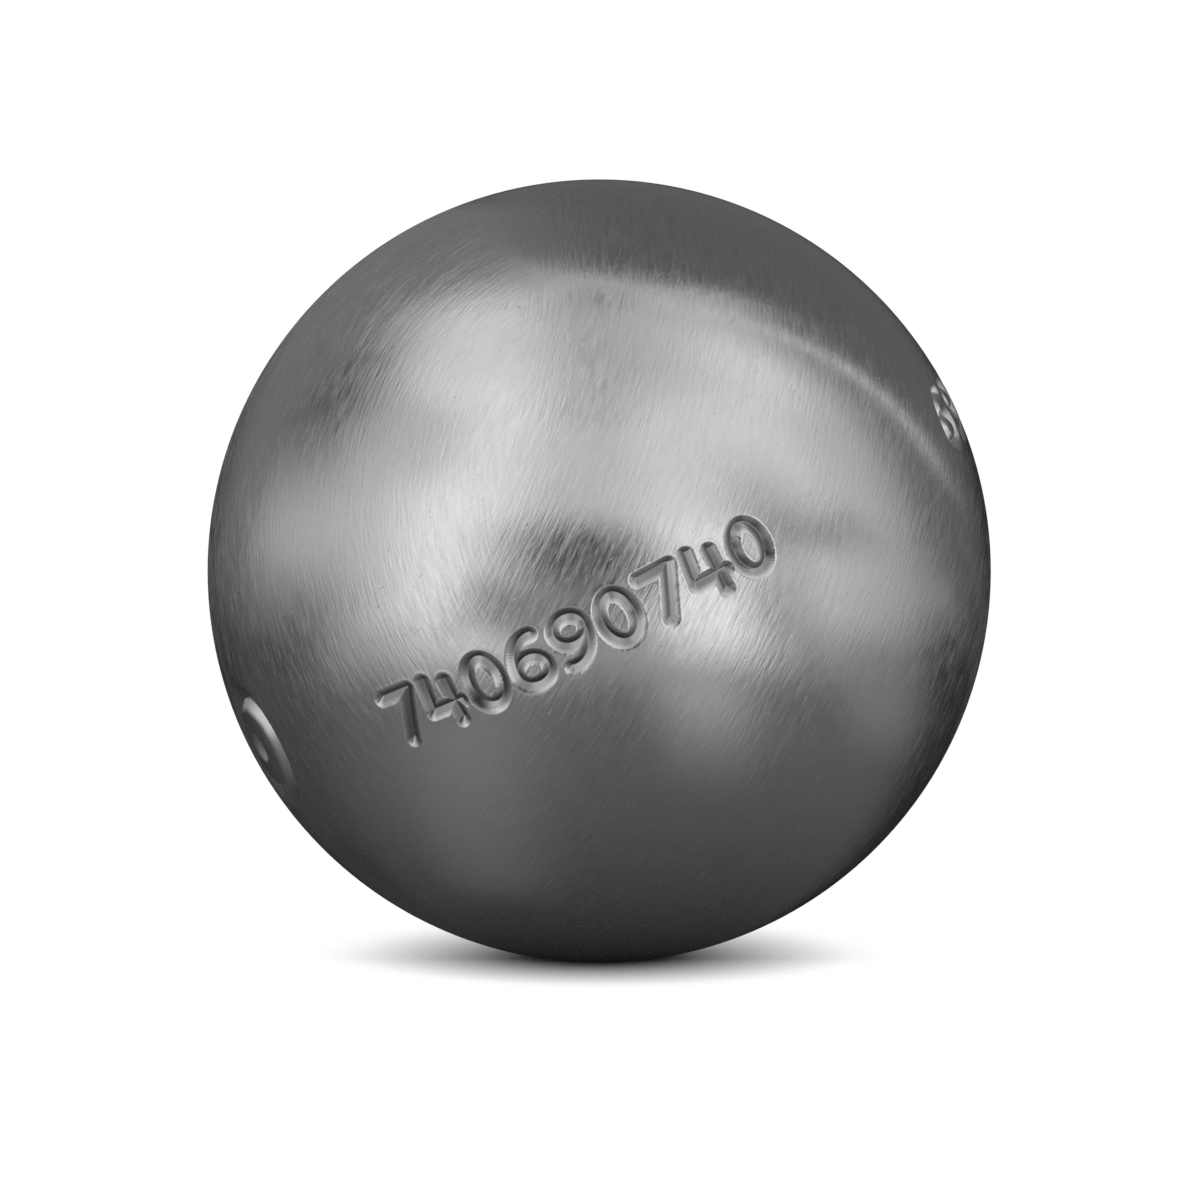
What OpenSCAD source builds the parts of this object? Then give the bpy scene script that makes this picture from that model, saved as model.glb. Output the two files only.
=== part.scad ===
// Steel petanque boule: two hot-forged half shells, centred on a lip and joined by one
// weld round the seam. The outside is ground to one sphere and the inside is empty.
// The origin is the ball's centre. The seam lies in the XY plane, +Z is up and the
// figures face -Y.

/* [Ball] */
// Outer diameter of the finished ball
ball_d = 74; // [70.5:0.5:80]
// Wall of each half shell, which sets the weight
wall_t = 6.05; // [5.6:0.05:9]

/* [Centring lip] */
// Height of the lip that stands up from the lower shell's rim
lip_h = 1.6; // [1:0.1:3]
// Thickness of the lip
lip_t = 1.7; // [1.2:0.1:2.2]
// Lead chamfer on the lip's outer corner
lip_lead = 0.4; // [0.2:0.1:0.8]
// Radial clearance between the lip and its pocket in the upper shell
lip_gap = 0.05; // [0.02:0.01:0.2]
// Free height above the lip in its pocket
pocket_gap = 0.2; // [0.1:0.05:0.6]
// Fillet in the pocket's inner corner
pocket_fillet = 0.35; // [0.2:0.05:0.7]

/* [Weld] */
// Width of the flat ring on which the two rims meet
seat_w = 1.1; // [0.6:0.1:1.6]
// Width of the weld groove at its root
weld_root_w = 0.8; // [0.4:0.1:1.6]
// Angle between the two flanks of the weld groove
weld_angle = 60; // [40:5:80]

/* [Ring mark] */
// Diameter of the struck ring along its deepest line
ring_d = 11.4; // [9:0.1:14]
// Width of the ring's groove at the surface
ring_w = 1.4; // [1:0.1:2.6]
// Depth of the ring's groove
ring_depth = 0.7; // [0.4:0.05:1.2]
// Diameter of the dimple inside the ring
dimple_d = 3.2; // [1.6:0.1:4]
// Depth of the dimple
dimple_depth = 0.55; // [0.3:0.05:0.8]

/* [Marks band] */
// Tilt of the great circle on which the marks are struck, about Y
band_tilt = 26.9; // [24:0.1:40]
// Lean of that circle towards the back, about X
band_lean = 1.7; // [0:0.1:5]
// Place of the ring mark along the circle, from the front towards -X
ring_angle = 74; // [65:0.5:110]
// Place of the ring mark off the circle, towards +Z
ring_rise = 1; // [0:0.1:3]

/* [Hidden] */
$fn = 128;

overrun = 1; // how far a cut runs past what it cuts
ball_r = ball_d / 2;
cavity_r = ball_r - wall_t;
lip_r = cavity_r + lip_t;
pocket_r = lip_r + lip_gap;
seat_r = pocket_r + seat_w; // the rims meet from pocket_r to seat_r
weld_depth = ball_r - seat_r;
flank_rise = tan(weld_angle / 2);
root_half = weld_root_w / 2;
mouth_r = ball_r + overrun;
mouth_half = root_half + (weld_depth + overrun) * flank_rise;

ring_r = ring_d / 2;
dimple_r = dimple_d / 2;
// Sphere whose cap is the dimple
dimple_ball_r = (dimple_r * dimple_r + dimple_depth * dimple_depth) / (2 * dimple_depth);

// Height of the ball's surface over a point, in the frame of a mark at the top of the ball
function surface_z(r) = sqrt(ball_r * ball_r - r * r) - ball_r;

// Outline of the weld groove: a flat root on the seam plane between two flanks
module groove_outline() {
    polygon([
        [seat_r, -root_half],
        [mouth_r, -mouth_half],
        [mouth_r, mouth_half],
        [seat_r, root_half]
    ]);
}

// Quarter ring of the forged wall above the seam plane, with its weld flank
module wall_outline() {
    difference() {
        intersection() {
            difference() {
                circle(r = ball_r);
                circle(r = cavity_r);
            }
            square([ball_r + overrun, ball_r + overrun]);
        }
        groove_outline();
    }
}

// Outline of the pocket in the upper rim, with a fillet in its upper outer corner
module pocket_outline() {
    pocket_h = lip_h + pocket_gap;
    inner_r = cavity_r - lip_t;
    union() {
        translate([inner_r, -overrun])
            square([pocket_r - inner_r, pocket_h - pocket_fillet + overrun]);
        translate([inner_r, 0])
            square([pocket_r - pocket_fillet - inner_r, pocket_h]);
        translate([pocket_r - pocket_fillet, pocket_h - pocket_fillet])
            circle(r = pocket_fillet);
    }
}

// Outline of the lip, rooted in the rim below the seam plane
module lip_outline() {
    polygon([
        [cavity_r, -seat_w],
        [lip_r, -seat_w],
        [lip_r, lip_h - lip_lead],
        [lip_r - lip_lead, lip_h],
        [cavity_r, lip_h]
    ]);
}

// Carries what is drawn at the top of the ball to its place on the marks' circle
module on_band(angle, rise) {
    rotate([band_lean, -band_tilt, 0])
        rotate([0, 0, -angle])
            rotate([90 - rise, 0, 0])
                translate([0, 0, ball_r])
                    children();
}

// Punch that strikes the ring and the dimple at its centre
module ring_punch() {
    punch_h = ring_depth + overrun;
    flank_run = punch_h * ring_w / (2 * ring_depth);
    point_z = surface_z(ring_r) - ring_depth;
    rotate_extrude()
        polygon([
            [ring_r, point_z],
            [ring_r + flank_run, point_z + punch_h],
            [ring_r - flank_run, point_z + punch_h]
        ]);
    translate([0, 0, dimple_ball_r - dimple_depth + surface_z(dimple_r)])
        sphere(r = dimple_ball_r);
}

module upper_shell() {
    color("gainsboro")
        rotate_extrude()
            difference() {
                wall_outline();
                pocket_outline();
            }
}

module lower_shell() {
    color("silver")
        difference() {
            rotate_extrude()
                union() {
                    mirror([0, 1])
                        wall_outline();
                    lip_outline();
                }
            on_band(ring_angle, ring_rise)
                ring_punch();
        }
}

module weld_bead() {
    color("lightgray")
        rotate_extrude()
            intersection() {
                groove_outline();
                circle(r = ball_r);
            }
}

upper_shell();
lower_shell();
weld_bead();
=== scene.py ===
"""Steel petanque ball: two half shells and the weld bead between them, with struck figures.

The outside is one sphere, turned and brushed about two axes, so its reflections are drawn
out across the fine lines. The figures and the ring are real grooves in the mesh. All sizes
are in metres, the origin is the ball's centre and the figures face -Y.
"""

import logging
import math
from dataclasses import dataclass, field
from enum import Enum
from typing import Union

import bmesh
import bpy
import numpy as np
from mathutils import Matrix, Vector

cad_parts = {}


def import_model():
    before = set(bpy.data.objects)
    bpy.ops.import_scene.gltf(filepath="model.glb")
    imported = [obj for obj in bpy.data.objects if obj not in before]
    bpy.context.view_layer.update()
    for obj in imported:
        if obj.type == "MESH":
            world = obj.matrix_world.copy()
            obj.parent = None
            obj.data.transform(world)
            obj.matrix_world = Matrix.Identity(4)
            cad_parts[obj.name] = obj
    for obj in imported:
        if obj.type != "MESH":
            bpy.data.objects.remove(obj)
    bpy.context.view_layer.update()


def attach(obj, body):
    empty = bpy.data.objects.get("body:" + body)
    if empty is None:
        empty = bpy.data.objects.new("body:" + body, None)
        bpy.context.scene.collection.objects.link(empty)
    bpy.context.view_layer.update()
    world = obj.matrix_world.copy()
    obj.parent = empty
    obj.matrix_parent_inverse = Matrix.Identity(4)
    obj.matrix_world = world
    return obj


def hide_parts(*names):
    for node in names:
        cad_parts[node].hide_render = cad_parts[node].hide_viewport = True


LOG = logging.getLogger("petanque_ball")
MM = 0.001
CM3 = 1e-6
UP = Vector((0.0, 0.0, 1.0))
STRUCK = "struck"
SOFT_PANEL = "Soft Panel"
ARC_STEP = 5.0  # degrees between the points of a figure's arc
ALL_ROUND = 400.0  # half width of a panel that runs all round the ball

Node = bpy.types.Node
Socket = bpy.types.NodeSocket
Tree = bpy.types.NodeTree
Value = Union[Socket, float, tuple]


class Side(Enum):
    """Half of the ball that a shell covers, as the sign of its height."""

    UPPER = 1
    LOWER = -1


class Rays(Enum):
    """Kinds of rays that show the white background, as Light Path names them."""

    CAMERA = "Is Camera Ray"
    GLOSSY = "Is Glossy Ray"
    TRANSMISSION = "Is Transmission Ray"


def direction(azimuth: float, elevation: float) -> Vector:
    """Unit vector of a direction seen from the ball.

    Args:
        azimuth: Degrees from -Y towards +X.
        elevation: Degrees above the level.

    Returns:
        The unit vector.
    """
    turn = math.radians(azimuth)
    rise = math.radians(elevation)
    return Vector((math.sin(turn) * math.cos(rise), -math.cos(turn) * math.cos(rise), math.sin(rise)))


class Graph:
    """Adds and links the nodes of one node tree."""

    def __init__(self, tree: Tree) -> None:
        """Keeps the tree that the nodes go into."""
        self.tree = tree

    @classmethod
    def fresh(cls, owner: Union[bpy.types.Material, bpy.types.World]) -> "Graph":
        """Empties the node tree of a material or world and gives its graph."""
        owner.use_nodes = True
        owner.node_tree.nodes.clear()
        return cls(owner.node_tree)

    def add(self, kind: str, **settings: object) -> Node:
        """Adds a node.

        Args:
            kind: Blender's type name of the node.
            **settings: Properties to set on it.

        Returns:
            The new node.
        """
        node = self.tree.nodes.new(kind)
        for name, value in settings.items():
            setattr(node, name, value)
        return node

    def feed(self, socket: Socket, value: Value) -> None:
        """Links a socket to another one, or sets its own value.

        Args:
            socket: Input socket to feed.
            value: Output socket, number or tuple.
        """
        if isinstance(value, Socket):
            self.tree.links.new(value, socket)
        else:
            socket.default_value = value

    def fill(self, node: Node, *values: Value, **named: Value) -> Node:
        """Feeds several inputs of a node.

        Args:
            node: The node.
            *values: What feeds its first inputs, in order.
            **named: What feeds inputs by name, with spaces written as underscores.

        Returns:
            The node.
        """
        for socket, value in zip(node.inputs, values):
            self.feed(socket, value)
        for name, value in named.items():
            self.feed(node.inputs[name.replace("_", " ")], value)
        return node

    def math(self, operation: str, *values: Value) -> Socket:
        """Adds a Math node whose inputs are fed in order, and gives its result."""
        return self.fill(self.add("ShaderNodeMath", operation=operation), *values).outputs[0]

    def vector(self, operation: str, *values: Value, output: str = "Vector") -> Socket:
        """Adds a Vector Math node whose inputs are fed in order, and gives one of its outputs."""
        return self.fill(self.add("ShaderNodeVectorMath", operation=operation), *values).outputs[output]

    def split(self, vector: Value) -> bpy.types.NodeOutputs:
        """Takes a vector apart into its outputs X, Y and Z."""
        return self.fill(self.add("ShaderNodeSeparateXYZ"), vector).outputs

    def ramp(self, value: Value, low: Value, high: Value, to_low: float = 0.0, to_high: float = 1.0,
             smooth: bool = False) -> Socket:
        """Maps one range of a value to another, and holds it there.

        Args:
            value: Value to map.
            low: Start of the range that is read.
            high: End of the range that is read.
            to_low: Result at the start.
            to_high: Result at the end.
            smooth: Whether the result eases in and out.

        Returns:
            The result's socket.
        """
        kind = "SMOOTHSTEP" if smooth else "LINEAR"
        node = self.add("ShaderNodeMapRange", interpolation_type=kind, clamp=True)
        self.fill(node, Value=value, From_Min=low, From_Max=high, To_Min=to_low, To_Max=to_high)
        return node.outputs["Result"]

    def mix(self, share: Value, first: Value, second: Value, vectors: bool = False) -> Socket:
        """Mixes two numbers or two vectors.

        Args:
            share: Share of the second.
            first: Result at 0.
            second: Result at 1.
            vectors: Whether they are vectors.

        Returns:
            The result's socket.
        """
        # Where the node keeps the first input and the output of each kind
        kind, place, result = ("VECTOR", 4, 1) if vectors else ("FLOAT", 2, 0)
        node = self.fill(self.add("ShaderNodeMix", data_type=kind), share)
        self.feed(node.inputs[place], first)
        self.feed(node.inputs[place + 1], second)
        return node.outputs[result]

    def choose(self, share: Socket, first: Socket, second: Socket) -> Socket:
        """Mixes two shaders.

        Args:
            share: Share of the second.
            first: Shader at 0.
            second: Shader at 1.

        Returns:
            The mixed shader.
        """
        return self.fill(self.add("ShaderNodeMixShader"), share, first, second).outputs[0]

    def noise(self, vector: Value, scale: Value, detail: float, roughness: float) -> Socket:
        """Adds a noise.

        Args:
            vector: Where it is read.
            scale: Spots per unit of length.
            detail: Number of finer layers.
            roughness: Strength of the finer layers.

        Returns:
            The noise, from 0 to 1.
        """
        node = self.add("ShaderNodeTexNoise", noise_dimensions="3D")
        return self.fill(node, Vector=vector, Scale=scale, Detail=detail, Roughness=roughness).outputs[0]

    def glow(self, strength: Value) -> Socket:
        """Adds a white emission."""
        return self.fill(self.add("ShaderNodeEmission"), Strength=strength).outputs[0]

    def place(self, group: Tree, **inputs: Value) -> Node:
        """Places a node group.

        Args:
            group: The group.
            **inputs: Values of its inputs, with spaces written as underscores.

        Returns:
            The group's node.
        """
        return self.fill(self.add("ShaderNodeGroup", node_tree=group), **inputs)


class EffectGroup:
    """A shader node group with named inputs and outputs."""

    def __init__(self, name: str, inputs: tuple[str, ...], outputs: tuple[str, ...]) -> None:
        """Makes the empty group.

        Args:
            name: Name of the group.
            inputs: Names of its inputs, which are numbers but for the one named Vector.
            outputs: Names of its outputs, which are numbers.
        """
        self.tree = bpy.data.node_groups.new(name, "ShaderNodeTree")
        for way, labels in (("INPUT", inputs), ("OUTPUT", outputs)):
            for label in labels:
                kind = "NodeSocketVector" if label == "Vector" else "NodeSocketFloat"
                self.tree.interface.new_socket(label, in_out=way, socket_type=kind)
        self.graph = Graph(self.tree)
        self.given = self.tree.nodes.new("NodeGroupInput").outputs
        self.result = self.tree.nodes.new("NodeGroupOutput").inputs

    def give(self, name: str, value: Socket) -> None:
        """Links one of the group's outputs."""
        self.tree.links.new(value, self.result[name])


def turned_lines() -> Tree:
    """Builds the group of fine lines that a belt leaves as the ball turns about one axis.

    Returns:
        The group. Its vector is the place on the ball with the turning axis along Z.
    """
    group = EffectGroup("Turned Lines", ("Vector", "Ball Radius", "Line Width", "Streak Length"),
                        ("Lines", "Bands"))
    graph, given = group.graph, group.given
    layers, layer_strength = 2.0, 0.65
    band_widths, band_lengths, band_seed = 5.0, 2.0, 87.3
    unit = graph.split(graph.vector("NORMALIZE", given["Vector"]))
    across = graph.math("MULTIPLY", graph.math("ARCCOSINE", unit["Z"]), given["Ball Radius"])
    stretch = graph.math("DIVIDE", given["Ball Radius"], given["Streak Length"])

    def streaks(width: Value, longer: float, seed: float) -> Socket:
        """Noise drawn out along the circles.

        Args:
            width: Width of one line.
            longer: How much longer than the streak length its lines are.
            seed: Offset that makes it differ from the others.

        Returns:
            The noise, from 0 to 1.
        """
        along = graph.math("DIVIDE", stretch, longer)
        place = graph.fill(graph.add("ShaderNodeCombineXYZ"),
                           X=graph.math("MULTIPLY", unit["X"], along),
                           Y=graph.math("MULTIPLY", unit["Y"], along),
                           Z=graph.math("ADD", graph.math("DIVIDE", across, width), seed))
        return graph.noise(place.outputs[0], 1.0, layers, layer_strength)

    group.give("Lines", streaks(given["Line Width"], 1.0, 0.0))
    band_width = graph.math("MULTIPLY", given["Line Width"], band_widths)
    group.give("Bands", streaks(band_width, band_lengths, band_seed))
    return group.tree


def handling_marks() -> Tree:
    """Builds the group of what use leaves: small pits and a soft haze."""
    group = EffectGroup("Handling Marks", ("Vector", "Pit Size", "Haze Size"), ("Pits", "Haze"))
    graph, given = group.graph, group.given
    pit_share, pit_reach, half = 0.22, 0.3, 0.5
    bare, pitted, deepest = 0.52, 0.56, 0.8
    pit_scale = graph.math("DIVIDE", pit_share, given["Pit Size"])
    spots = graph.fill(graph.add("ShaderNodeTexVoronoi", feature="F1"), Vector=given["Vector"],
                       Scale=pit_scale)
    size = graph.noise(given["Vector"], graph.math("MULTIPLY", pit_scale, half), 1.0, half)
    reach = graph.ramp(size, bare, deepest, 0.0, pit_reach)
    pits = graph.math("SUBTRACT", 1.0, graph.ramp(spots.outputs["Distance"], 0.0, reach, smooth=True))
    group.give("Pits", graph.math("MULTIPLY", pits, graph.ramp(size, bare, pitted)))
    layers, layer_strength = 2.0, 0.6
    haze_scale = graph.math("DIVIDE", 1.0, given["Haze Size"])
    group.give("Haze", graph.noise(given["Vector"], haze_scale, layers, layer_strength))
    return group.tree


def soft_panel() -> Tree:
    """Builds the group that gives the shape of one panel of the light tent.

    Returns:
        The group. Its azimuth and elevation are in degrees, and the mask is 1 on the panel.
    """
    group = EffectGroup(SOFT_PANEL,
                        ("Azimuth", "Elevation", "Centre Azimuth", "Centre Elevation", "Half Width",
                         "Half Height", "Slant", "Side Softness", "End Softness"), ("Mask",))
    graph, given = group.graph, group.given
    half, half_turn = 0.5, 180.0
    rise = graph.math("SUBTRACT", given["Elevation"], given["Centre Elevation"])
    middle = graph.math("MULTIPLY_ADD", rise, given["Slant"], given["Centre Azimuth"])
    turn = graph.math("WRAP", graph.math("SUBTRACT", given["Azimuth"], middle), half_turn, -half_turn)
    sides = graph.math("SUBTRACT", given["Half Width"], graph.math("ABSOLUTE", turn))
    ends = graph.math("SUBTRACT", given["Half Height"], graph.math("ABSOLUTE", rise))
    side = graph.ramp(graph.math("DIVIDE", sides, given["Side Softness"]), -half, half, smooth=True)
    end = graph.ramp(graph.math("DIVIDE", ends, given["End Softness"]), -half, half, smooth=True)
    group.give("Mask", graph.math("MULTIPLY", side, end))
    return group.tree


@dataclass(frozen=True)
class TurningAxis:
    """Axis about which the ball turned while a belt brushed it."""

    azimuth: float
    elevation: float

    def vector(self) -> Vector:
        """Unit vector of the axis."""
        return direction(self.azimuth, self.elevation)

    def upright(self) -> tuple[float, float, float]:
        """Rotation that brings the axis upright, for a Mapping node."""
        return tuple(self.vector().rotation_difference(UP).to_euler("XYZ"))


@dataclass
class BrushedSteel:
    """Satin steel, brushed about one axis over most of the ball and about another on one cap."""

    name: str
    ball_radius: float
    tone: float = 0.62
    roughness: float = 0.234
    struck_roughness: float = 0.18
    # Painted shade: factor that darkens the colour of the struck walls in front.
    groove_painted_shade: float = 0.53
    # Painted highlight: factor that lightens the colour of the struck walls at the sides.
    side_painted_highlight: float = 1.45
    side_roughness: float = 0.34
    # Distances off the front between which the marks turn from front to side, for the painted highlight and
    # the roughness.
    side_from: tuple[float, float] = (22.0 * MM, 28.0 * MM)
    anisotropy: float = 0.78
    line_width: float = 0.3 * MM
    streak_length: float = 2.4 * MM
    line_tone: float = 0.04
    band_tone: float = 0.04
    haze_tone: float = 0.05
    line_scatter: float = 0.04
    scatter_range: tuple[float, float] = (-0.3, 0.3)
    line_roughness: float = 0.35
    band_roughness: float = 0.1
    line_depth: float = 0.03 * MM
    pit_size: float = 0.1 * MM
    pit_depth: float = 0.02 * MM
    pit_tone: float = 0.55
    haze_size: float = 4.5 * MM
    stray: TurningAxis = TurningAxis(azimuth=-85.0, elevation=45.0)
    stray_level: tuple[float, float] = (0.68, 0.76)
    stray_depth: float = 0.01 * MM
    main: TurningAxis = TurningAxis(azimuth=-72.6, elevation=25.1)
    cap: TurningAxis = TurningAxis(azimuth=-165.3, elevation=-16.3)
    cap_middle: TurningAxis = TurningAxis(azimuth=-74.6, elevation=13.8)
    cap_reach: tuple[float, float] = (49.9, 65.9)
    graph: Graph = field(init=False)
    place: Socket = field(init=False)
    use: bpy.types.NodeOutputs = field(init=False)

    def build(self, lines: Tree, marks: Tree) -> bpy.types.Material:
        """Builds the material.

        Args:
            lines: Group of the turned lines.
            marks: Group of the handling marks.

        Returns:
            The material.
        """
        material = bpy.data.materials.new(self.name)
        self.graph = graph = Graph.fresh(material)
        self.place = graph.add("ShaderNodeTexCoord").outputs["Object"]
        self.use = graph.place(marks, Vector=self.place, Pit_Size=self.pit_size,
                               Haze_Size=self.haze_size).outputs
        struck = graph.add("ShaderNodeAttribute", attribute_name=STRUCK).outputs["Fac"]
        smooth = graph.math("SUBTRACT", 1.0, struck)
        on_main = self._off_cap()
        cap, main, stray = (self._lines_about(axis, lines) for axis in (self.cap, self.main, self.stray))
        fine, bands = (self._blend(on_main, smooth, cap[name], main[name]) for name in ("Lines", "Bands"))
        scratches = graph.math("MULTIPLY", smooth, graph.ramp(stray["Lines"], *self.stray_level))

        side_share = self._side_share()
        # Painted shade on the struck walls in front and painted highlight on those at the sides; the skin
        # keeps its own tone.
        wall_painted_light = graph.mix(struck, 1.0, graph.mix(side_share, self.groove_painted_shade, self.side_painted_highlight))
        tone = graph.math("MULTIPLY", self._tone(fine, bands), wall_painted_light)
        colour = graph.fill(graph.add("ShaderNodeCombineColor"), tone, tone, tone)
        dull = graph.ramp(fine, *self.scatter_range, 0.0, self.line_scatter)
        wall_rough = graph.mix(side_share, self.struck_roughness, self.side_roughness)
        rough = graph.mix(struck, self.roughness, wall_rough)
        for noise, strength in ((fine, self.line_roughness), (bands, self.band_roughness)):
            rough = graph.math("MULTIPLY_ADD", noise, strength, rough)
        shader = graph.fill(graph.add("ShaderNodeBsdfPrincipled"),
                            Base_Color=colour.outputs[0],
                            Metallic=graph.math("SUBTRACT", 1.0, graph.math("MULTIPLY", smooth, dull)),
                            Roughness=rough,
                            Anisotropic=self.anisotropy,
                            Normal=self._grooves(fine, scratches),
                            Tangent=self._tangent(on_main))
        graph.fill(graph.add("ShaderNodeOutputMaterial"), Surface=shader.outputs[0])
        return material

    def _blend(self, on_main: Socket, smooth: Socket, cap: Socket, main: Socket) -> Socket:
        """Blends the lines of the cap with those of the main field.

        Args:
            on_main: 0 on the cap and 1 off it.
            smooth: 1 on the skin and 0 in the struck marks, where no line is left.
            cap: Lines of the cap, from 0 to 1.
            main: Lines of the main field, from 0 to 1.

        Returns:
            The lines, from -0.5 to 0.5.
        """
        middle = 0.5
        lines = self.graph.math("SUBTRACT", self.graph.mix(on_main, cap, main), middle)
        return self.graph.math("MULTIPLY", smooth, lines)

    def _tangent(self, on_main: Socket) -> Socket:
        """Direction across the lines, which is that of the turning axis."""
        axis = self.graph.mix(on_main, tuple(self.cap.vector()), tuple(self.main.vector()), vectors=True)
        to_world = self.graph.add("ShaderNodeVectorTransform", vector_type="VECTOR",
                                  convert_from="OBJECT", convert_to="WORLD")
        return self.graph.fill(to_world, axis).outputs[0]

    def _side_share(self) -> Socket:
        """1 for the marks at the sides, whose walls get a painted highlight, and 0 for those in front, which
        keep the painted shade.
        """
        off_front = self.graph.math("ABSOLUTE", self.graph.split(self.place)["X"])
        return self.graph.ramp(off_front, *self.side_from, smooth=True)

    def _off_cap(self) -> Socket:
        """0 on the cap that was brushed about the other axis and 1 off it, with a wide border."""
        unit = self.graph.vector("NORMALIZE", self.place)
        near = self.graph.vector("DOT_PRODUCT", unit, tuple(self.cap_middle.vector()), output="Value")
        inside, outside = (math.cos(math.radians(angle)) for angle in self.cap_reach)
        return self.graph.ramp(near, inside, outside, smooth=True)

    def _lines_about(self, axis: TurningAxis, lines: Tree) -> bpy.types.NodeOutputs:
        """Places the turned lines about one axis.

        Args:
            axis: The turning axis.
            lines: Group of the turned lines.

        Returns:
            The group's outputs.
        """
        turned = self.graph.fill(self.graph.add("ShaderNodeMapping"), Vector=self.place,
                                 Rotation=axis.upright())
        return self.graph.place(lines, Vector=turned.outputs[0], Ball_Radius=self.ball_radius,
                                Line_Width=self.line_width, Streak_Length=self.streak_length).outputs

    def _tone(self, fine: Socket, bands: Socket) -> Socket:
        """Varies the steel's tone a little with the lines, the bands, the haze and the pits.

        Args:
            fine: The turned lines, round 0.
            bands: The broad bands, round 0.

        Returns:
            The tone's socket.
        """
        total, middle = 1.0, 0.5
        haze = self.graph.math("SUBTRACT", self.use["Haze"], middle)
        for noise, strength in ((fine, self.line_tone), (bands, self.band_tone), (haze, self.haze_tone)):
            total = self.graph.math("MULTIPLY_ADD", noise, strength, total)
        total = self.graph.math("MULTIPLY", total, self.tone)
        in_pits = self.graph.ramp(self.use["Pits"], 0.0, 1.0, 1.0, self.pit_tone)
        return self.graph.math("MULTIPLY", total, in_pits)

    def _grooves(self, fine: Socket, scratches: Socket) -> Socket:
        """Turns the lines, stray scratches and pits into relief.

        Args:
            fine: The turned lines.
            scratches: The stray scratches.

        Returns:
            The normal's socket.
        """
        depth = self.graph.math("MULTIPLY", fine, self.line_depth)
        for hollow, deep in ((scratches, self.stray_depth), (self.use["Pits"], self.pit_depth)):
            depth = self.graph.math("MULTIPLY_ADD", hollow, -deep, depth)
        bump = self.graph.fill(self.graph.add("ShaderNodeBump"), Strength=1.0, Distance=1.0, Height=depth)
        return bump.outputs["Normal"]


@dataclass(frozen=True)
class Bow:
    """Arc of an ellipse in a figure, in shares of the figure's half width and half height."""

    centre: tuple[float, float]
    radii: tuple[float, float]
    start: float
    sweep: float

    def points(self) -> list[tuple[float, float]]:
        """Points along the arc, about one for each arc step."""
        count = max(2, round(abs(self.sweep) / ARC_STEP))
        angles = [math.radians(self.start + self.sweep * step / count) for step in range(count + 1)]
        return [(self.centre[0] + self.radii[0] * math.cos(a), self.centre[1] + self.radii[1] * math.sin(a))
                for a in angles]


@dataclass(frozen=True)
class Run:
    """Straight strokes in a figure, in shares of its half width and half height."""

    corners: tuple[tuple[float, float], ...]

    def points(self) -> list[tuple[float, float]]:
        """The corners in order."""
        return list(self.corners)


SIX_BOWL = Bow((0.0, -0.42), (1.0, 0.58), 0.0, 360.0)
SIX_STEM = Bow((0.55, -0.42), (1.55, 1.42), 180.0, -98.0)
NINE_BOWL = Bow((0.0, 0.42), (1.0, 0.58), 0.0, 360.0)
NINE_STEM = Bow((-0.55, 0.42), (1.55, 1.42), 0.0, -98.0)
PUNCHES = {
    "0": (Bow((0.0, 0.0), (1.0, 1.0), 0.0, 360.0),),
    "4": (Run(((-0.8, 1.0), (-1.0, -0.3), (1.05, -0.3))), Run(((0.6, 0.7), (0.6, -1.0)))),
    "6": (SIX_BOWL, SIX_STEM),
    "7": (Run(((-1.0, 1.0), (1.0, 1.0), (-0.25, -1.0))),),
    "9": (NINE_BOWL, NINE_STEM),
}


@dataclass(frozen=True)
class StruckFigure:
    """One figure struck on the marks' circle or a little off it."""

    sign: str
    angle: float
    rise: float = 0.0
    scale: float = 1.0


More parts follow.
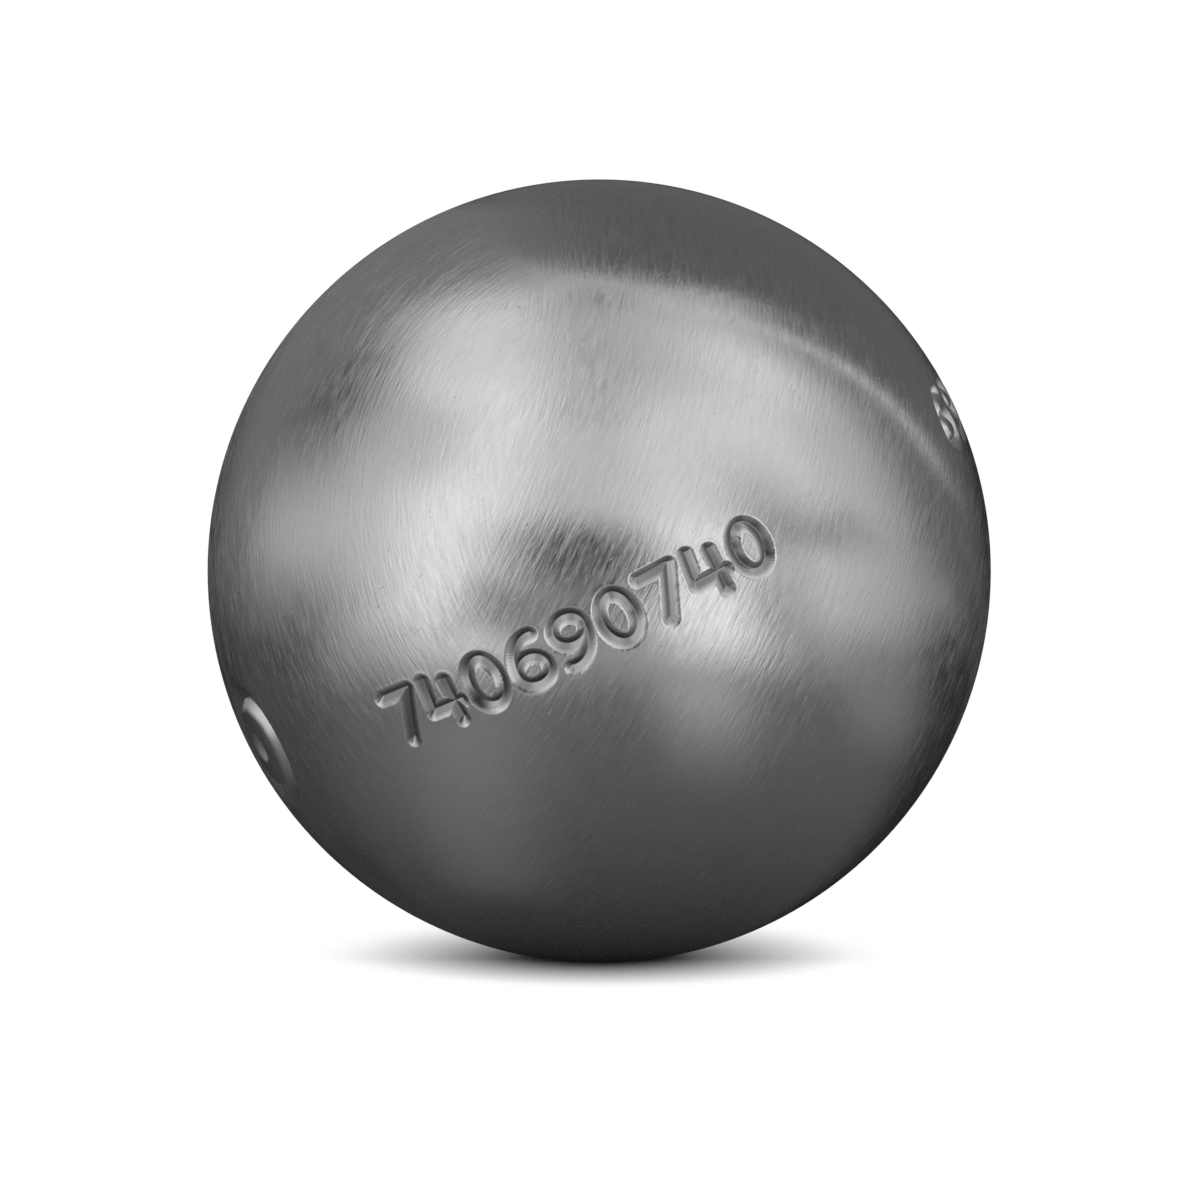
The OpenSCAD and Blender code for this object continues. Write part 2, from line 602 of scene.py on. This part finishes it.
@dataclass
class StruckMarks:
    """The plain figures and the ring mark, struck on one great circle of the ball.

    The methods take points as unit vectors, one a row, and give a value for each.
    """

    ball_radius: float = 37.0 * MM
    tilt: float = 26.9
    lean: float = 1.7
    front_figures: str = "740690740"
    front_angle: float = -4.9
    pitch: float = 7.02
    weight_figures: str = "690"
    weight_angle: float = 74.7
    weight_rise: float = -0.7
    weight_scale: float = 1.12
    half_width: float = 1.5 * MM
    half_height: float = 2.25 * MM
    stroke_half: float = 0.74 * MM
    stroke_depth: float = 0.5 * MM
    punch_lean: tuple[float, float] = (0.08, 0.27)
    root_blunt: float = 0.02 * MM
    shoulder: float = 0.06 * MM
    shoulder_lean: float = 3.0
    # Width over which the struck share rises inside a groove's edge; the share takes off the lines and sets
    # the roughness and the walls' painted shade.
    struck_shade_fade: float = 0.42 * MM
    lip_height: float = 0.012 * MM
    lip_offset: float = 0.13 * MM
    lip_width: float = 0.15 * MM
    ring_angle: float = -72.0
    ring_rise: float = 1.4
    ring_radius: float = 4.8 * MM
    ring_walls: tuple[float, float] = (1.0 * MM, 1.6 * MM)
    ring_depth: float = 0.75 * MM
    ring_round: float = 0.2 * MM
    dimple_radius: float = 1.6 * MM
    dimple_depth: float = 0.55 * MM
    reach: float = 8.0 * MM
    figures: list[StruckFigure] = field(default_factory=list)

    def __post_init__(self) -> None:
        """Sets the figures out along the circle."""
        first = self.front_angle - self.pitch * (len(self.front_figures) - 1) / 2
        self.figures = [StruckFigure(sign, first + self.pitch * place)
                        for place, sign in enumerate(self.front_figures)]
        weight_pitch = self.pitch * self.weight_scale
        self.figures += [StruckFigure(sign, self.weight_angle + weight_pitch * place,
                                      self.weight_rise, self.weight_scale)
                         for place, sign in enumerate(self.weight_figures)]
        turned = Matrix.Rotation(math.radians(-self.tilt), 3, "Y") @ Matrix.Rotation(
            math.radians(self.lean), 3, "X")
        self.circle = np.array(turned)

    def _local(self, units: np.ndarray, angle: float, rise: float = 0.0) -> np.ndarray:
        """Places points in the flat frame of a mark.

        Args:
            units: Unit vectors, one a row.
            angle: The mark's place along the circle, in degrees.
            rise: The mark's place off the circle, in degrees.

        Returns:
            Columns of the distance along the circle and across it, from the mark's middle.
        """
        turn = math.radians(angle)
        lift = math.radians(rise)
        middle = np.array([math.sin(turn) * math.cos(lift), -math.cos(turn) * math.cos(lift), math.sin(lift)])
        right = np.array([math.cos(turn), math.sin(turn), 0.0])
        top = np.cross(middle, right)
        seen = units @ self.circle
        along = np.arctan2(seen @ right, seen @ middle)
        across = np.arcsin(np.clip(seen @ top, -1.0, 1.0))
        behind = seen @ middle < 0
        along[behind] = math.pi
        return self.ball_radius * np.stack([along, across], axis=1)

    def _strokes(self, figure: StruckFigure) -> list[np.ndarray]:
        """Stroke lines of a figure, in its flat frame."""
        size = np.array([self.half_width, self.half_height]) * figure.scale
        return [np.array(part.points()) * size for part in PUNCHES[figure.sign]]

    def stroke_distance(self, units: np.ndarray) -> tuple[np.ndarray, np.ndarray]:
        """Distance from each point to the nearest stroke of a figure.

        Args:
            units: Unit vectors, one a row.

        Returns:
            The distances, no more than the reach, and how far the leaning punch narrows the
            groove on the point's side of the stroke, as a share of its half width.
        """
        nearest = np.full(len(units), self.reach)
        narrower = np.zeros(len(units))
        for figure in self.figures:
            flat = self._local(units, figure.angle, figure.rise)
            near = np.flatnonzero(np.abs(flat).max(axis=1) < self.reach)
            points = flat[near]
            for line in self._strokes(figure):
                for start, end in zip(line[:-1], line[1:]):
                    along = end - start
                    share = np.clip((points - start) @ along / float(along @ along), 0.0, 1.0)
                    gap = points - start - share[:, None] * along
                    length = np.hypot(gap[:, 0], gap[:, 1])
                    closer = length < nearest[near]
                    nearest[near[closer]] = length[closer]
                    lean = gap @ np.array(self.punch_lean) / np.maximum(length, self.root_blunt)
                    narrower[near[closer]] = lean[closer]
        return nearest, narrower

    def ring_distance(self, units: np.ndarray) -> np.ndarray:
        """Distance of each point from the middle of the ring mark."""
        flat = self._local(units, self.ring_angle, self.ring_rise)
        return np.hypot(flat[:, 0], flat[:, 1])

    def edge_distance(self, units: np.ndarray) -> np.ndarray:
        """Distance from each point to the nearest groove's edge, below 0 inside a groove."""
        off_ring = self.ring_distance(units)
        off_stroke, narrower = self.stroke_distance(units)
        gaps = (off_stroke - self.stroke_half * (1.0 - narrower), off_ring - self.dimple_radius,
                np.abs(off_ring - self.ring_radius) - self._ring_wall(off_ring))
        return np.min(gaps, axis=0)

    def _ring_wall(self, off_ring: np.ndarray) -> np.ndarray:
        """Width of the ring's wall on each point's side, inside or outside its deepest line."""
        return np.where(off_ring < self.ring_radius, *self.ring_walls)

    def _groove(self, distance: np.ndarray, half: np.ndarray, depth: float,
                shoulder: np.ndarray) -> np.ndarray:
        """Height of a V groove with a blunt root and rolled shoulders.

        Args:
            distance: Distance from the groove's line.
            half: Half of its width on that side of the line.
            depth: Its depth.
            shoulder: Softness of its upper edge on that side.

        Returns:
            The height, below 0 in the groove and a little above it at its lips.
        """
        blunt = np.sqrt(distance**2 + self.root_blunt**2)
        cut = shoulder * np.logaddexp(0.0, (half - blunt) / shoulder)
        lip = np.exp(-(((distance - half - self.lip_offset) / self.lip_width) ** 2))
        return self.lip_height * lip - depth / half * cut

    def relief(self, units: np.ndarray) -> np.ndarray:
        """Height of the marks over the sphere, below 0 in their grooves."""
        off_ring = self.ring_distance(units)
        off_stroke, narrower = self.stroke_distance(units)
        height = self._groove(off_stroke, self.stroke_half * (1.0 - narrower), self.stroke_depth,
                              self.shoulder * np.exp(-self.shoulder_lean * narrower))
        height += self._groove(np.abs(off_ring - self.ring_radius), self._ring_wall(off_ring),
                               self.ring_depth, self.ring_round)
        cap = 1.0 - (off_ring / self.dimple_radius) ** 2
        soft = self.shoulder / self.dimple_radius
        return height - self.dimple_depth * soft * np.logaddexp(0.0, cap / soft)

    def struck_share(self, units: np.ndarray) -> np.ndarray:
        """Share of each point that a punch has pressed smooth and the belt no longer reaches.

        The ring's outer wall is so shallow that the belt has brushed it too.

        Args:
            units: Unit vectors, one a row.

        Returns:
            1 deep on the walls of the grooves and 0 off them.
        """
        off_ring = self.ring_distance(units)
        on_outer_wall = (off_ring > self.ring_radius) & (off_ring < self.ring_radius + self.ring_walls[1])
        # Besides the finish, this share carries the painted shade and highlight of the walls into the steel's
        # colour.
        share = np.clip(-self.edge_distance(units) / self.struck_shade_fade, 0.0, 1.0)
        return np.where(on_outer_wall, 0.0, share)

    def normals(self, units: np.ndarray, step: float = 0.02 * MM) -> np.ndarray:
        """Normals of the marked surface.

        Args:
            units: Unit vectors, one a row.
            step: Distance over which the slope is measured.

        Returns:
            Unit normals, one a row.
        """
        tiny = 1e-9
        east = np.cross(np.array(UP), units)
        east /= np.maximum(np.linalg.norm(east, axis=1, keepdims=True), tiny)
        north = np.cross(units, east)
        normal = units.copy()
        for side in (east, north):
            turn = side * (step / self.ball_radius)
            ahead, behind = units + turn, units - turn
            ahead /= np.linalg.norm(ahead, axis=1, keepdims=True)
            behind /= np.linalg.norm(behind, axis=1, keepdims=True)
            slope = (self.relief(ahead) - self.relief(behind)) / (2 * step)
            normal -= slope[:, None] * side
        return normal / np.linalg.norm(normal, axis=1, keepdims=True)


class Section:
    """Half section of a piece in the XZ plane, drawn point by point and spun to a solid.

    Each step of the drawing gives the section itself.
    """

    def __init__(self, start: tuple[float, float]) -> None:
        """Starts the outline.

        Args:
            start: Radius and height of its first corner.
        """
        self.mesh = bmesh.new()
        self.first = self.mesh.verts.new((start[0], 0.0, start[1]))
        self.last = self.first

    def line(self, *corners: tuple[float, float]) -> "Section":
        """Draws straight lines on.

        Args:
            *corners: Radius and height of each next corner.
        """
        for radius, height in corners:
            corner = self.mesh.verts.new((radius, 0.0, height))
            self.mesh.edges.new((self.last, corner))
            self.last = corner
        return self

    def arc(self, centre: tuple[float, float], angle: float, steps: int) -> "Section":
        """Draws an arc on.

        Args:
            centre: Radius and height of its centre.
            angle: Radians about +Y.
            steps: Number of its straight parts.
        """
        made = bmesh.ops.spin(self.mesh, geom=[self.last], cent=(centre[0], 0.0, centre[1]),
                              axis=(0.0, 1.0, 0.0), angle=angle, steps=steps)
        self.last = next(part for part in made["geom_last"] if isinstance(part, bmesh.types.BMVert))
        return self

    def close(self) -> "Section":
        """Joins the last point to the first."""
        self.mesh.edges.new((self.last, self.first))
        return self

    def spun(self, steps: int, merge: float) -> bmesh.types.BMesh:
        """Spins the section a full turn about Z.

        Args:
            steps: Number of parts of the turn.
            merge: Distance under which doubles at the poles merge.

        Returns:
            The closed solid.
        """
        bmesh.ops.spin(self.mesh, geom=self.mesh.verts[:] + self.mesh.edges[:], cent=(0.0, 0.0, 0.0),
                       axis=UP, angle=math.tau, steps=steps, use_merge=True)
        bmesh.ops.remove_doubles(self.mesh, verts=self.mesh.verts[:], dist=merge)
        bmesh.ops.recalc_face_normals(self.mesh, faces=self.mesh.faces[:])
        return self.mesh


@dataclass
class BallPiece:
    """A piece spun round the ball's upright axis, whose outside is part of the sphere."""

    marks: StruckMarks
    node: str = ""
    slot: str = ""
    ball_radius: float = 37.0 * MM
    seat_radius: float = 33.8 * MM
    root_half: float = 0.4 * MM
    flank_angle: float = 30.0
    turn_steps: int = 232
    skin_step: float = 1.0 * MM
    skin_depth: float = 0.02 * MM
    merge: float = 0.001 * MM
    crease_angle: float = 30.0
    refine_reaches: tuple[float, ...] = (2.4 * MM, 1.3 * MM, 0.6 * MM, 0.16 * MM)

    def mouth(self) -> tuple[float, float]:
        """Radius and height of the point where the weld's flank meets the sphere."""
        rise = math.tan(math.radians(self.flank_angle))
        offset = self.root_half - rise * self.seat_radius
        square = 1.0 + rise * rise
        half = rise * offset
        radius = (-half + math.sqrt(half * half - square * (offset * offset - self.ball_radius**2))) / square
        return radius, offset + rise * radius

    def section(self) -> Section:
        """Draws the piece's half section."""
        raise NotImplementedError

    def build(self) -> bpy.types.Object:
        """Builds the piece's object at the origin, with its share of the marks."""
        solid = self.section().spun(self.turn_steps, self.merge)
        for reach in self.refine_reaches:
            self._refine(solid, reach)
        mesh = bpy.data.meshes.new(self.node)
        solid.to_mesh(mesh)
        volume = solid.calc_volume(signed=True)
        solid.free()
        self._strike(mesh)
        piece = bpy.data.objects.new(f"{self.node}_skin", mesh)
        bpy.context.scene.collection.objects.link(piece)
        triangles = sum(len(face.vertices) - 2 for face in mesh.polygons)
        LOG.info("%s: %.1f cm3, %d triangles", piece.name, volume / CM3, triangles)
        return piece

    def _refine(self, solid: bmesh.types.BMesh, reach: float) -> None:
        """Halves the faces of the skin that lie near a mark.

        Args:
            solid: The piece.
            reach: Distance from a groove's edge within which faces are halved.
        """
        floor = self.ball_radius - self.skin_depth
        skin = [face for face in solid.faces if all(v.co.length > floor for v in face.verts)]
        centres = np.array([face.calc_center_median() for face in skin])
        units = centres / np.linalg.norm(centres, axis=1, keepdims=True)
        near = self.marks.edge_distance(units) < reach
        edges = {edge for face, inside in zip(skin, near) if inside for edge in face.edges}
        if not edges:
            return
        bmesh.ops.subdivide_edges(solid, edges=list(edges), cuts=1, use_grid_fill=True, use_single_edge=True)
        for vert in solid.verts:
            if vert.co.length > floor:
                vert.co.length = self.ball_radius

    def _strike(self, mesh: bpy.types.Mesh) -> None:
        """Strikes the marks into the skin and gives it the sphere's own normals.

        Args:
            mesh: The piece's mesh, still a plain sphere outside.
        """
        places = np.empty(len(mesh.vertices) * 3)
        mesh.vertices.foreach_get("co", places)
        places = places.reshape(-1, 3)
        radius = np.linalg.norm(places, axis=1)
        on_skin = radius > self.ball_radius - self.skin_depth
        units = places[on_skin] / radius[on_skin, None]
        height = self.marks.relief(units)
        places[on_skin] = units * (self.ball_radius + height)[:, None]
        normals = np.zeros_like(places)
        normals[on_skin] = self.marks.normals(units)
        mesh.vertices.foreach_set("co", places.ravel())
        shares = np.zeros(len(places))
        shares[on_skin] = self.marks.struck_share(units)
        mesh.attributes.new(STRUCK, "FLOAT", "POINT").data.foreach_set("value", shares)
        mesh.polygons.foreach_set("use_smooth", [True] * len(mesh.polygons))
        mesh.update()
        mesh.set_sharp_from_angle(angle=math.radians(self.crease_angle))
        owners = np.empty(len(mesh.loops), dtype=np.int32)
        mesh.loops.foreach_get("vertex_index", owners)
        sizes = np.empty(len(mesh.polygons), dtype=np.int32)
        mesh.polygons.foreach_get("loop_total", sizes)
        faces = np.repeat(np.arange(len(sizes)), sizes)
        off_skin = np.bincount(faces, weights=~on_skin[owners]) > 0
        shown = normals[owners]
        shown[off_skin[faces]] = 0.0
        mesh.normals_split_custom_set(shown.tolist())


@dataclass
class HalfShell(BallPiece):
    """A forged half shell: sphere outside, weld flank, seat and cavity."""

    slot: str = "shell_steel"
    cavity_radius: float = 30.95 * MM
    cavity_steps: int = 24
    lip_thickness: float = 1.7 * MM
    lip_height: float = 1.6 * MM

    def _outside(self, side: Side) -> Section:
        """Draws the skin from its pole to the mouth, and the weld flank down to the seat plane.

        Args:
            side: Half of the ball.

        Returns:
            The section so far, which ends on the seat plane.
        """
        radius, height = self.mouth()
        reach = math.atan2(radius, height)
        steps = round(reach * self.ball_radius / self.skin_step)
        section = Section((0.0, side.value * self.ball_radius))
        section.arc((0.0, 0.0), side.value * reach, steps)
        return section.line((self.seat_radius, side.value * self.root_half), (self.seat_radius, 0.0))


@dataclass
class UpperShell(HalfShell):
    """The upper half shell, with the pocket that takes the lower one's lip."""

    node: str = "upper_shell"
    lip_gap: float = 0.05 * MM
    pocket_height: float = 1.8 * MM
    fillet: float = 0.35 * MM
    fillet_steps: int = 4

    def section(self) -> Section:
        """Draws the shell's half section, from its outer pole to its inner one."""
        pocket = self.cavity_radius + self.lip_thickness + self.lip_gap
        bore = math.sqrt(self.cavity_radius**2 - self.pocket_height**2)
        section = self._outside(Side.UPPER)
        section.line((pocket, 0.0), (pocket, self.pocket_height - self.fillet))
        section.arc((pocket - self.fillet, self.pocket_height - self.fillet), -math.pi / 2, self.fillet_steps)
        section.line((bore, self.pocket_height))
        return section.arc((0.0, 0.0), -math.atan2(bore, self.pocket_height), self.cavity_steps)


@dataclass
class LowerShell(HalfShell):
    """The lower half shell, with the centring lip on its rim."""

    node: str = "lower_shell"
    lead: float = 0.4 * MM

    def section(self) -> Section:
        """Draws the shell's half section, from its outer pole to its inner one."""
        lip = self.cavity_radius + self.lip_thickness
        section = self._outside(Side.LOWER)
        section.line((lip, 0.0), (lip, self.lip_height - self.lead), (lip - self.lead, self.lip_height),
                     (self.cavity_radius, self.lip_height), (self.cavity_radius, 0.0))
        return section.arc((0.0, 0.0), math.pi / 2, self.cavity_steps)


@dataclass
class WeldBead(BallPiece):
    """The weld run in the groove between the shells, ground flush."""

    node: str = "weld_bead"
    slot: str = "weld_steel"

    def section(self) -> Section:
        """Draws the bead's closed section, a trapezoid with the sphere's arc for its outer side."""
        radius, height = self.mouth()
        reach = 2.0 * math.atan2(height, radius)
        section = Section((radius, height))
        section.arc((0.0, 0.0), reach, round(reach * self.ball_radius / self.skin_step))
        return section.line((self.seat_radius, -self.root_half), (self.seat_radius, self.root_half)).close()


@dataclass
class Ball:
    """The finished ball: its pieces, their finishes and their places in the frame."""

    marks: StruckMarks = field(default_factory=StruckMarks)

    def build(self) -> list[bpy.types.Object]:
        """Builds and dresses the pieces."""
        lines, use = turned_lines(), handling_marks()
        finishes: dict[str, bpy.types.Material] = {}
        built = []
        for maker in (UpperShell(self.marks), LowerShell(self.marks), WeldBead(self.marks)):
            piece = maker.build()
            if maker.slot not in finishes:
                finishes[maker.slot] = BrushedSteel(maker.slot, maker.ball_radius).build(lines, use)
            piece.data.materials.append(finishes[maker.slot])
            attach(piece, "root")
            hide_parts(maker.node)
            built.append(piece)
        return built


@dataclass(frozen=True)
class TentPanel:
    """A lighter or darker part of the light tent, in degrees as seen from the ball."""

    name: str
    azimuth: float
    elevation: float
    half_width: float
    half_height: float
    level: float
    side_soft: float = 10.0
    end_soft: float = 10.0
    slant: float = 0.0


LIGHT_PLAN = (
    TentPanel("top", 0.0, 90.0, ALL_ROUND, 5.0, 0.19, end_soft=2.5),
    TentPanel("front_top", -35.0, 66.5, 54.0, 19.5, 0.47, 6.0, 3.0),
    TentPanel("front_right", 41.0, 23.0, 30.0, 32.0, 1.0, 17.0, 21.0),
    TentPanel("far_right", 73.0, 53.0, 15.0, 13.0, 1.03, 25.0, 3.5),
    TentPanel("right_low", 32.5, 0.0, 15.5, 17.5, 1.44, 8.0, 3.0),
    TentPanel("right_gap", 51.0, -4.0, 9.5, 33.0, 0.43, 3.0, 28.0),
    TentPanel("right_edge", 70.0, 11.5, 13.5, 3.0, 0.15, 3.0, 3.0),
    TentPanel("left_high", -103.0, 60.0, 54.0, 16.0, 1.0, 4.5, 8.0),
    TentPanel("left_side", -122.0, 32.0, 30.0, 17.0, 0.07, 30.0, 30.0),
    TentPanel("left_lamp", -36.0, 17.0, 14.5, 49.5, 1.2, 7.5, 30.0),
    TentPanel("left_core", -46.0, 9.0, 14.0, 17.0, 1.3, 24.0, 9.0),
    TentPanel("back_right", 164.0, 32.5, 43.5, 47.0, 0.13, 2.5, 3.0),
    TentPanel("back_left", -144.0, 24.0, 27.0, 49.0, 0.2, 5.5, 27.0),
    TentPanel("right_fold", 114.0, 25.5, 13.5, 31.5, 0.13, 30.0, 18.0),
    TentPanel("bright_seam", 103.5, 54.0, 1.5, 44.5, 1.0, 3.5, 6.5, slant=-0.52),
    TentPanel("camera_opening", -4.5, 7.0, 21.0, 10.5, 0.0, 29.0, 8.0),
    TentPanel("dark_table", 0.0, -90.0, ALL_ROUND, 73.0, 0.17, end_soft=17.0),
    TentPanel("camera_shade", -13.0, -4.0, 23.5, 7.0, 0.23, 6.0, 3.0),
    TentPanel("table_right", 26.0, -23.5, 11.0, 4.5, 0.7, 10.0, 30.0),
    TentPanel("table_left", -33.0, -42.0, 16.0, 16.5, 0.3, 28.0, 8.5),
    TentPanel("table_far_right", 103.0, -21.5, 35.5, 9.0, 0.28, 6.5, 11.0),
    TentPanel("table_far_left", -154.0, -33.0, 78.0, 30.0, 0.08, 30.0, 26.0),
    TentPanel("table_back", 167.0, -39.0, 68.5, 30.5, 0.02, 30.0, 11.5),
    TentPanel("behind", 180.0, -12.0, 32.0, 18.0, 0.0, 20.0, 16.0),
)


@dataclass
class Studio:
    """Camera, white floor, light tent and world round the ball."""

    ball_radius: float = 37.0 * MM
    camera_elevation: float = 5.8
    camera_distance: float = 0.6
    aim_right: float = 0.076 * MM
    aim_down: float = 2.73 * MM
    lens: float = 190.2
    sensor: float = 36.0
    tent_radius: float = 1.1
    tent_parts: tuple[int, int] = (64, 32)
    tent_level: float = 0.66
    table_level: float = 0.58
    table_fall: float = 3.0
    floor_half: float = 12.0
    floor_gap: float = 0.05 * MM
    shadow_low: float = 0.049
    shadow_high: float = 0.443
    shadow_reach: float = 0.5
    shadow_samples: int = 32
    front_light: float = 12.0
    white: tuple[float, ...] = (1.0, 1.0, 1.0, 1.0)
    paper: tuple[float, ...] = (0.8, 0.8, 0.8, 1.0)
    room_level: float = 0.75
    panels: tuple[TentPanel, ...] = LIGHT_PLAN

    def build(self) -> None:
        """Builds the whole studio."""
        self._camera()
        self._world()
        self._floor()
        self._tent()
        bpy.context.scene.view_settings.view_transform = "Standard"

    def _camera(self) -> None:
        """Sets the camera at the picture's viewing angle and frame."""
        rise = math.radians(self.camera_elevation)
        towards = Vector((0.0, -math.cos(rise), math.sin(rise)))
        up = Vector((0.0, math.sin(rise), math.cos(rise)))
        aim = Vector((self.aim_right, 0.0, 0.0)) - up * self.aim_down
        data = bpy.data.cameras.new("camera")
        data.lens = self.lens
        data.sensor_width = self.sensor
        camera = bpy.data.objects.new("camera", data)
        bpy.context.scene.collection.objects.link(camera)
        camera.location = aim + towards * self.camera_distance
        camera.rotation_euler = (-towards).to_track_quat("-Z", "Y").to_euler()
        bpy.context.scene.camera = camera

    def _white_rays(self, graph: Graph) -> Socket:
        """1 for the rays that show the white background: camera, glossy and transmission rays."""
        path = graph.add("ShaderNodeLightPath").outputs
        seen = path[Rays.CAMERA.value]
        for kind in (Rays.GLOSSY, Rays.TRANSMISSION):
            seen = graph.math("MAXIMUM", seen, path[kind.value])
        return seen

    def _world(self) -> None:
        """Gives the world its white background and a plain light for the rest."""
        world = bpy.data.worlds.new("studio")
        bpy.context.scene.world = world
        graph = Graph.fresh(world)
        background = graph.fill(graph.add("ShaderNodeBackground"), Color=self.white,
                                Strength=graph.mix(self._white_rays(graph), self.room_level, 1.0))
        graph.fill(graph.add("ShaderNodeOutputWorld"), Surface=background.outputs[0])

    def _stage_object(self, name: str, finish: str,
                      solid: bmesh.types.BMesh) -> tuple[bpy.types.Object, Graph]:
        """Makes an object of a mesh, with a new material.

        Args:
            name: Its name.
            finish: Name of its material.
            solid: Its mesh, which is freed.

        Returns:
            The object and its material's empty graph.
        """
        mesh = bpy.data.meshes.new(name)
        solid.to_mesh(mesh)
        solid.free()
        made = bpy.data.objects.new(name, mesh)
        bpy.context.scene.collection.objects.link(made)
        material = bpy.data.materials.new(finish)
        mesh.materials.append(material)
        return made, Graph.fresh(material)

    def _floor(self) -> None:
        """Lays the white floor, which keeps the ball's soft shadow and is a dark table in reflections."""
        solid = bmesh.new()
        bmesh.ops.create_grid(solid, x_segments=1, y_segments=1, size=self.floor_half)
        bmesh.ops.translate(solid, verts=solid.verts[:], vec=UP * (-self.ball_radius - self.floor_gap))
        _, graph = self._stage_object("floor", "white_floor", solid)
        place = graph.add("ShaderNodeTexCoord").outputs["Object"]
        paper = graph.fill(graph.add("ShaderNodeBsdfDiffuse"), Color=self.paper).outputs[0]
        plain = graph.choose(self._white_rays(graph), paper, graph.glow(self._shadow(graph, place)))
        mirrored = graph.add("ShaderNodeLightPath").outputs[Rays.GLOSSY.value]
        shown = graph.choose(mirrored, plain, graph.glow(self._table(graph, place)))
        graph.fill(graph.add("ShaderNodeOutputMaterial"), Surface=shown)

    def _shadow(self, graph: Graph, place: Socket) -> Socket:
        """Finds the floor's brightness, dark where the ball hides the sky above it.

        Args:
            graph: The floor's nodes.
            place: Place on the floor.

        Returns:
            The brightness, which rises sooner on the camera's side of the ball.
        """
        sky = graph.fill(graph.add("ShaderNodeAmbientOcclusion", samples=self.shadow_samples),
                         Distance=self.shadow_reach)
        towards = graph.math("MULTIPLY", graph.split(place)["Y"], -self.front_light)
        light = graph.math("ADD", sky.outputs["AO"], graph.math("MAXIMUM", towards, 0.0))
        return graph.ramp(light, self.shadow_low, self.shadow_high)

    def _table(self, graph: Graph, place: Socket) -> Socket:
        """Finds the floor's brightness in reflections, darker where the ball hides the tent.

        Args:
            graph: The floor's nodes.
            place: Place on the floor.

        Returns:
            The brightness.
        """
        away = graph.vector("LENGTH", place, output="Value")
        hidden = graph.math("POWER", graph.math("DIVIDE", self.ball_radius, away), self.table_fall)
        open_share = graph.math("SUBTRACT", 1.0, hidden)
        return graph.math("MULTIPLY", self._plan(graph, place, self.table_level), open_share)

    def _tent(self) -> None:
        """Raises the light tent, a dome whose cloth glows panel by panel."""
        solid = bmesh.new()
        around, upward = self.tent_parts
        bmesh.ops.create_uvsphere(solid, u_segments=around, v_segments=upward, radius=self.tent_radius)
        bmesh.ops.bisect_plane(solid, geom=solid.verts[:] + solid.edges[:] + solid.faces[:],
                               plane_co=(0.0, 0.0, -self.ball_radius), plane_no=UP, clear_inner=True)
        tent, graph = self._stage_object("light_tent", "tent_cloth", solid)
        place = graph.add("ShaderNodeTexCoord").outputs["Object"]
        cloth = graph.glow(self._plan(graph, place, self.tent_level))
        graph.fill(graph.add("ShaderNodeOutputMaterial"), Surface=cloth)
        tent.visible_camera = False
        tent.visible_shadow = False

    def _plan(self, graph: Graph, place: Socket, level: Value) -> Socket:
        """Lays the panels of the light plan over each other.

        Args:
            graph: Nodes of the cloth or the table.
            place: Place on it, from the ball's centre.
            level: Brightness where no panel lies.

        Returns:
            The brightness.
        """
        unit = graph.split(graph.vector("NORMALIZE", place))
        back = graph.math("MULTIPLY", unit["Y"], -1.0)
        azimuth = graph.math("DEGREES", graph.math("ARCTAN2", unit["X"], back))
        elevation = graph.math("DEGREES", graph.math("ARCSINE", unit["Z"]))
        shape = bpy.data.node_groups.get(SOFT_PANEL) or soft_panel()
        for panel in self.panels:
            node = graph.place(shape, Azimuth=azimuth, Elevation=elevation, Centre_Azimuth=panel.azimuth,
                               Centre_Elevation=panel.elevation, Half_Width=panel.half_width,
                               Half_Height=panel.half_height, Slant=panel.slant,
                               Side_Softness=panel.side_soft, End_Softness=panel.end_soft)
            node.label = panel.name
            level = graph.mix(node.outputs["Mask"], level, panel.level)
        return level


def corners(bounds: tuple) -> list[list[float]]:
    """Turns a box's two corners into plain lists of numbers."""
    return [[float(number) for number in corner] for corner in bounds]


def main() -> None:
    """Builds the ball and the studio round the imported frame."""
    logging.basicConfig(level=logging.INFO, format="%(name)s: %(message)s")
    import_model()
    pieces = Ball().build()
    Studio().build()
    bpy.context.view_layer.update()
    LOG.info("%d pieces built", len(pieces))


if __name__ == "__main__":
    main()
